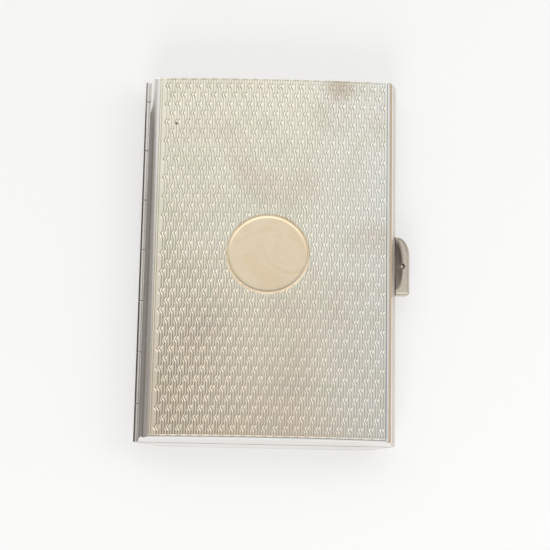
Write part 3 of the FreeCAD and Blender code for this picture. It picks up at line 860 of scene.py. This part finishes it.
def make_end_wall(node_name, profile, body):
    """A flat wall let into a cover's end, all but flush with it."""
    low, high = box_mm(node_name)
    outward = 1 if high[1] > 0 else -1
    face = outward * (HALF_LENGTH - WALL_INSET)
    back = low[1] if outward > 0 else high[1]
    front_edge = profile.front.edge - GAUGE / math.tan(profile.front.turn)
    u = np.linspace(profile.hinge_end(-GAUGE), front_edge, WALL_STEPS)
    x, z = profile.at(u, -GAUGE + WALL_TUCK)
    z = profile.up * np.maximum(profile.up * z, profile.up * profile.seat)
    layers = [np.stack([x, np.full(len(x), y), z], axis=1) for y in (face, back)]
    count = len(x)
    faces = [[i, (i + 1) % count, count + (i + 1) % count, count + i] for i in range(count)]
    faces.append(list(range(count))[::-1])
    faces.append([count + i for i in range(count)])
    if outward * profile.up > 0:
        faces = [f[::-1] for f in faces]
    piece = make_object(f"{node_name}_wall", np.concatenate(layers), faces, [plain_silver])
    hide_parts(node_name)
    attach(piece, body)


for end in ("head", "foot"):
    make_end_wall(f"lid_end_{end}", LID, "lid")
    make_end_wall(f"base_end_{end}", BASE, "base")


# ---------------------------------------------------------------- hinge

KNUCKLES = 4
KNUCKLE_ROUND = 0.09
BORE_RADIUS = KNUCKLE_RADIUS / 2
BORE_CHAMFER = 0.03
BORE_CHAMFER_LENGTH = 0.05

# Painted shade on a knuckle's side that faces -X, by the distance out from its axis in radii: its start,
# and how far it grows.
PAINTED_SHADE_START = 0.1
PAINTED_SHADE_GROWTH = 0.35


def lathe_y(name, x, z, outline, materials, around=40):
    """Turns an outline of (y, radius) pairs about a line along Y; it closes on itself.

    Painted shade lies on the side that faces -X.
    """
    angles = np.linspace(0, 2 * math.pi, around, endpoint=False)
    points = []
    for y, radius in outline:
        ring_x = x + radius * np.cos(angles)
        ring_z = z + radius * np.sin(angles)
        points.append(np.stack([ring_x, np.full(around, y), ring_z], axis=1))
    count = len(outline)
    faces = []
    for k in range(count):
        following = (k + 1) % count
        for i in range(around):
            j = (i + 1) % around
            a, b = k * around, following * around
            faces.append([a + i, b + i, b + j, a + j])
    # Painted shade on the side that faces -X.
    shaded_side = np.clip((-np.cos(angles) - PAINTED_SHADE_START) / PAINTED_SHADE_GROWTH, 0, 1)
    return make_object(name, np.concatenate(points), faces, materials, depth=np.tile(shaded_side, count))


def knuckle_end(y, inward):
    """Outline of a knuckle's end at y, from the bore to the outside."""
    inset = KNUCKLE_ROUND
    return [
        (y + inward * BORE_CHAMFER_LENGTH, BORE_RADIUS),
        (y, BORE_RADIUS + BORE_CHAMFER),
        (y, KNUCKLE_RADIUS - inset),
        (y + inward * inset * 0.3, KNUCKLE_RADIUS - inset * 0.3),
        (y + inward * inset, KNUCKLE_RADIUS),
        (y + inward * inset * 1.4, KNUCKLE_RADIUS),
    ]


def make_knuckle(node_name, body):
    """A knuckle of the hinge tube with rounded ends and an open bore."""
    low, high = box_mm(node_name)
    outline = knuckle_end(low[1], 1) + knuckle_end(high[1], -1)[::-1]
    piece = lathe_y(f"{node_name}_tube", HINGE_X, HINGE_Z, outline, [hinge_silver])
    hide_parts(node_name)
    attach(piece, body)


for owner in ("lid", "base"):
    for number in range(1, KNUCKLES + 1):
        make_knuckle(f"{owner}_knuckle_{number}", owner)


# ---------------------------------------------------------------- thumb tab and catch

TAB_LOW, TAB_HIGH = box_mm("lid_thumb_tab")
PIP_LOW, PIP_HIGH = box_mm("catch_pip")
PIP_X = (PIP_LOW[0] + PIP_HIGH[0]) / 2
PIP_Y = (PIP_LOW[1] + PIP_HIGH[1]) / 2
WIDE_CORNER = 3.1
TIGHT_CORNER = 0.9
TAB_ROOT = TIP - 0.32
TAB_ROUND = 0.16
UNDERCUT = 0.05
EDGE_CROWDING = 0.85
HOLE_RADIUS = 0.77

# Under the lid's edge the tab is thin, and it thickens towards its root.
NECK = 0.2
NECK_SLOPE = 0.3

# The raised rim: its width, how far the middle lies below it, and how long the slope is.
RIM_WIDTH = 0.42
RIM_RISE = 0.1
RIM_SLOPE = 0.2

# The scoop by the root: half an oval with its middle just outside the lid's edge.
SCOOP_X = TIP + 0.12
SCOOP_REACH = 1.72
SCOOP_HALF_LENGTH = 7.0
SCOOP_DEPTH = 0.62
# Painted shade in and round the scoop: where it ends in the oval's measure, how fast it grows, and its
# strength all over the underside.
SCOOP_SHADE_END = 1.02
SCOOP_SHADE_SLOPE = 3.0
UNDERSIDE_SHADE = 0.6


def tab_reach(y):
    """X of the tab's outer edge at y: a wide bend at the head side, a tight one at the foot side."""
    tip = TAB_HIGH[0]
    wide_start = TAB_HIGH[1] - WIDE_CORNER * 1.5
    tight_start = TAB_LOW[1] + TIGHT_CORNER
    if y > wide_start:
        share = (y - wide_start) / (WIDE_CORNER * 1.5)
        return tip - WIDE_CORNER * (1 - math.sqrt(max(0.0, 1 - share * share)))
    if y < tight_start:
        share = (tight_start - y) / TIGHT_CORNER
        return tip - TIGHT_CORNER * (1 - math.sqrt(max(0.0, 1 - share * share)))
    return tip


def tab_top(x, y, edge):
    """Height of the tab's upper face at (x, y), and its painted shade, which lies in and round the scoop.
    """
    from_edge = min(edge - x, y - TAB_LOW[1], TAB_HIGH[1] - y)
    z = TAB_HIGH[2]
    if from_edge < TAB_ROUND:
        z -= TAB_ROUND - math.sqrt(max(0.0, TAB_ROUND**2 - (TAB_ROUND - from_edge) ** 2))
    elif from_edge > RIM_WIDTH:
        z -= RIM_RISE * min(1.0, (from_edge - RIM_WIDTH) / RIM_SLOPE)
    oval = ((x - SCOOP_X) / SCOOP_REACH) ** 2 + ((y - PIP_Y) / SCOOP_HALF_LENGTH) ** 2
    if oval < 1:
        z -= SCOOP_DEPTH * math.sqrt(1 - oval) ** 1.2
    if x < TIP:
        z = min(z, TAB_LOW[2] + NECK + (TIP - x) * NECK_SLOPE)
    return z, min(1.0, max(0.0, (SCOOP_SHADE_END - oval) * SCOOP_SHADE_SLOPE))


def make_disc_cutter(name, x, y, bottom, top, radius, around=48):
    """An upright cylinder that cuts a hole, with its caps."""
    angles = np.linspace(0, 2 * math.pi, around, endpoint=False)
    ring_x = x + radius * np.cos(angles)
    ring_y = y + radius * np.sin(angles)
    rings = [np.stack([ring_x, ring_y, np.full(around, z)], axis=1) for z in (bottom, top)]
    faces = [[i, (i + 1) % around, around + (i + 1) % around, around + i] for i in range(around)]
    faces.append(list(range(around))[::-1])
    faces.append([around + i for i in range(around)])
    return make_object(name, np.concatenate(rings), faces, [])


def make_lid_tab():
    """D-shaped tab with a raised rim, a thumb scoop by its root and the snap hole."""
    low_y, high_y = TAB_LOW[1], TAB_HIGH[1]
    bottom, top = TAB_LOW[2], TAB_HIGH[2]
    tall = 90
    wide = 40
    even = np.linspace(0, 1, tall)
    ease = (1 - np.cos(math.pi * even)) / 2
    points = []
    # grime holds painted shade: in and round the scoop on top, and all over the underside.
    grime = []
    for y in low_y + (high_y - low_y) * (ease + even) / 2:
        edge = tab_reach(y)
        for x in TAB_ROOT + (edge - TAB_ROOT) * np.linspace(0, 1, wide) ** EDGE_CROWDING:
            z, scoop_shade = tab_top(x, y, edge)
            points.append((x, y, z))
            grime.append(scoop_shade)
    count = wide * tall
    low_points = np.array(points)
    low_points[:, 2] = bottom
    low_points[wide - 1 :: wide, 0] -= UNDERCUT
    faces = grid_faces(wide, tall) + grid_faces(wide, tall, count, flip=True)
    far = wide * (tall - 1)
    for i in range(wide - 1):
        faces.append([i + 1, i, count + i, count + i + 1])
        faces.append([far + i, far + i + 1, count + far + i + 1, count + far + i])
    for r in range(tall - 1):
        a, b = r * wide, (r + 1) * wide
        faces.append([a, b, count + b, count + a])
        a, b = a + wide - 1, b + wide - 1
        faces.append([b, a, count + a, count + b])
    grime += [UNDERSIDE_SHADE] * count
    piece = make_object("thumb_tab", np.concatenate([points, low_points]), faces, [tab_silver], depth=grime)
    drill = make_disc_cutter("snap_drill", PIP_X, PIP_Y, bottom - 1, top + 1, HOLE_RADIUS)
    bore = piece.modifiers.new("snap_hole", "BOOLEAN")
    bore.operation = "DIFFERENCE"
    bore.solver = "EXACT"
    bore.object = drill
    apply_modifiers(piece)
    bpy.data.objects.remove(drill)
    piece.data.set_sharp_from_angle(angle=math.radians(SHARP_DEGREES))
    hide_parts("lid_thumb_tab")
    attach(piece, "lid")


make_lid_tab()


# ---------------------------------------------------------------- softened copies of CAD pieces

WELD_DISTANCE = 0.002
FLAT_DEGREES = 1.0
SOFT_SHARP_DEGREES = 45.0


def soften(node_name, body, material, width_mm, segments=2):
    """A copy of a CAD node with rounded edges."""
    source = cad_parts[node_name]
    piece = source.copy()
    piece.data = source.data.copy()
    piece.name = f"{node_name}_soft"
    piece.data.materials.clear()
    piece.data.materials.append(material)
    bpy.context.scene.collection.objects.link(piece)
    weld = piece.modifiers.new("weld", "WELD")
    weld.merge_threshold = WELD_DISTANCE * MM
    flat = piece.modifiers.new("flat", "DECIMATE")
    flat.decimate_type = "DISSOLVE"
    flat.angle_limit = math.radians(FLAT_DEGREES)
    edge = piece.modifiers.new("edge", "BEVEL")
    edge.width = width_mm * MM
    edge.segments = segments
    edge.limit_method = "ANGLE"
    edge.angle_limit = math.radians(SHARP_DEGREES)
    apply_modifiers(piece)
    piece.data.shade_smooth()
    piece.data.set_sharp_from_angle(angle=math.radians(SOFT_SHARP_DEGREES))
    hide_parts(node_name)
    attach(piece, body)


soften("base_catch_tab", "base", tab_silver, 0.12)
for place in ("front", "head", "foot"):
    soften(f"base_bezel_{place}", "base", gilt, 0.08)
soften("lid_front_rim", "lid", gilt, 0.06)
soften("retainer_bar", "retainer", gilt, 0.1, 3)
for end in ("head", "foot"):
    soften(f"retainer_lug_{end}", "base", gilt, 0.06)


def dress(node_name, material):
    """Gives a CAD node that stays in view its finish."""
    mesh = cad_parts[node_name].data
    mesh.materials.clear()
    mesh.materials.append(material)
    mesh.shade_smooth()
    mesh.set_sharp_from_angle(angle=math.radians(SHARP_DEGREES))


dress("catch_pip", tab_silver)
for node_name in (
    "hinge_pin",
    "retainer_pin_head",
    "retainer_pin_foot",
    "retainer_spring_head",
    "retainer_spring_foot",
):
    dress(node_name, wire_steel)


# ---------------------------------------------------------------- stage, light and camera

FLOOR_GLOW = 0.43
FLOOR_HALF_SIZE = 1500.0

# Cards that stand along the case, as (y, z). The wall's lower edge rises towards the head end.
STRIP = ((-160, 0.5), (70, 0.5), (75, 40), (-160, 40))
WALL = ((-600, 151), (200, 151), (230, 298), (262, 588), (330, 1100), (-600, 1100))
TAN_STRIP = ((-90, 0.6), (90, 0.6), (90, 13.5), (-90, 13.5))

# Cards that lie just above the floor, as (x, y).
LOW_CARD = ((-110, -46), (-33, -46), (-33, 40), (-110, 74))
TAN_LOW_CARD = ((44, -90), (52, -90), (52, 90), (44, 90))


def emission(name, colour):
    """A material that gives off its colour and reflects nothing."""
    made = bpy.data.materials.new(name)
    made.use_nodes = True
    tree = made.node_tree
    tree.nodes.clear()
    out = node(tree, "ShaderNodeOutputMaterial")
    glow = node(tree, "ShaderNodeEmission", Color=(*colour, 1.0), Strength=1.0)
    link(tree, glow.outputs[0], out.inputs["Surface"])
    return made


def matte(name, colour):
    """A dull material, such as paper."""
    made = bpy.data.materials.new(name)
    made.use_nodes = True
    shader = made.node_tree.nodes["Principled BSDF"]
    shader.inputs["Base Color"].default_value = (*colour, 1.0)
    shader.inputs["Roughness"].default_value = 0.9
    shader.inputs["Specular IOR Level"].default_value = 0.1
    return made


def make_floor():
    """A sheet of white paper; its slight glow keeps the shadows as soft as in a light tent."""
    size = FLOOR_HALF_SIZE
    corners = [(-size, -size, 0), (size, -size, 0), (size, size, 0), (-size, size, 0)]
    paper = matte("paper", (0.5, 0.497, 0.49))
    shader = paper.node_tree.nodes["Principled BSDF"]
    shader.inputs["Emission Color"].default_value = (1.0, 1.0, 0.995, 1.0)
    shader.inputs["Emission Strength"].default_value = FLOOR_GLOW
    floor = make_object("floor", corners, [[0, 1, 2, 3]], [paper])


def make_card(name, corners, colour):
    """A studio card that only shows as a reflection."""
    card = make_object(name, corners, [list(range(len(corners)))], [emission(name, colour)])
    card.visible_camera = False
    card.visible_diffuse = False
    card.visible_shadow = False


def upright(x, outline):
    """Corners of a card that stands at x."""
    return [(x, y, z) for y, z in outline]


def level(z, outline):
    """Corners of a card that lies at z."""
    return [(x, y, z) for x, y in outline]


def make_cards():
    """Dark cards on the hinge's side, and tan ones on the tab's side."""
    for name, corners, colour in (
        ("dark_card", upright(-110, STRIP), (0.2, 0.186, 0.17)),
        ("grey_card", upright(-400, WALL), (0.34, 0.316, 0.289)),
        ("low_card", level(0.2, LOW_CARD), (0.26, 0.243, 0.225)),
        ("tan_low_card", level(0.3, TAN_LOW_CARD), (0.56, 0.46, 0.34)),
        ("tan_card", upright(52, TAN_STRIP), (0.56, 0.45, 0.33)),
    ):
        make_card(name, corners, colour)


def make_world():
    """Soft room light: dim overhead, brightest above the head end, cooler on the tab's side."""
    world = bpy.data.worlds.new("studio")
    bpy.context.scene.world = world
    world.use_nodes = True
    tree = world.node_tree
    place = node(tree, "ShaderNodeTexCoord")
    split = node(tree, "ShaderNodeSeparateXYZ")
    link(tree, place.outputs["Generated"], split.inputs[0])
    along = math_node(tree, "MULTIPLY", math_node(tree, "ADD", split.outputs["Y"], 1.0), 0.5)
    across = math_node(tree, "MULTIPLY", math_node(tree, "ADD", split.outputs["X"], 1.0), 0.5)
    light = ramp(
        tree,
        along,
        (0.0, 0.9),
        (0.2, 0.75),
        (0.34, 0.42),
        (0.5, 0.42),
        (0.58, 0.52),
        (0.62, 0.66),
        (0.7, 0.88),
        (0.75, 1.35),
        (0.84, 1.35),
        (0.9, 0.95),
        (1.0, 0.9),
    )
    side = ramp(tree, across, (0.05, 0.8), (0.2, 0.0), (0.8, 0.0), (0.95, 0.8))
    light = mix(tree, side, light, (0.76, 0.76, 0.76))
    tint = ramp(tree, across, (0.2, (1.0, 0.985, 0.96)), (0.8, (0.95, 0.97, 1.0)))
    sky = mix(tree, 1.0, light, tint, "MULTIPLY")
    background = tree.nodes["Background"]
    link(tree, sky, background.inputs["Color"])
    background.inputs["Strength"].default_value = 1.0


def make_lights():
    """Two square lamps that light the matte things and leave no reflection."""
    for name, place, size, power, colour in (
        ("side", (560, 60, 420), 380, 1.15, (1.0, 0.99, 0.97)),
        ("front", (-60, -640, 330), 380, 2.2, (1.0, 1.0, 1.0)),
    ):
        lamp = bpy.data.lights.new(name, "AREA")
        lamp.shape = "SQUARE"
        lamp.size = size * MM
        lamp.energy = power
        lamp.color = colour
        rig = bpy.data.objects.new(name, lamp)
        spot = Vector(place) * MM
        rig.location = spot
        rig.rotation_euler = (-spot).to_track_quat("-Z", "Y").to_euler()
        rig.visible_glossy = False
        bpy.context.scene.collection.objects.link(rig)


CAMERA_HEIGHT_DEGREES = 72.1
CAMERA_DISTANCE = 600.0
CAMERA_ROLL_DEGREES = 1.17
CAMERA_SHIFT = (0.0135, -0.0258)
LENS = 159.3
SENSOR_WIDTH = 36.0


def make_camera():
    aim = Vector((0, 0, HINGE_Z)) * MM
    height = math.radians(CAMERA_HEIGHT_DEGREES)
    away = Vector((0, -math.cos(height), math.sin(height)))
    camera = bpy.data.cameras.new("camera")
    camera.lens = LENS
    camera.sensor_width = SENSOR_WIDTH
    camera.clip_start = 0.01
    camera.clip_end = 20.0
    camera.shift_x, camera.shift_y = CAMERA_SHIFT
    rig = bpy.data.objects.new("camera", camera)
    look = (-away).to_track_quat("-Z", "Y").to_matrix()
    look = look @ Matrix.Rotation(math.radians(CAMERA_ROLL_DEGREES), 3, "Z")
    rig.matrix_world = Matrix.Translation(aim + away * CAMERA_DISTANCE * MM) @ look.to_4x4()
    bpy.context.scene.collection.objects.link(rig)
    bpy.context.scene.camera = rig


make_floor()
make_cards()
make_world()
make_lights()
make_camera()
bpy.context.scene.view_settings.view_transform = "Standard"
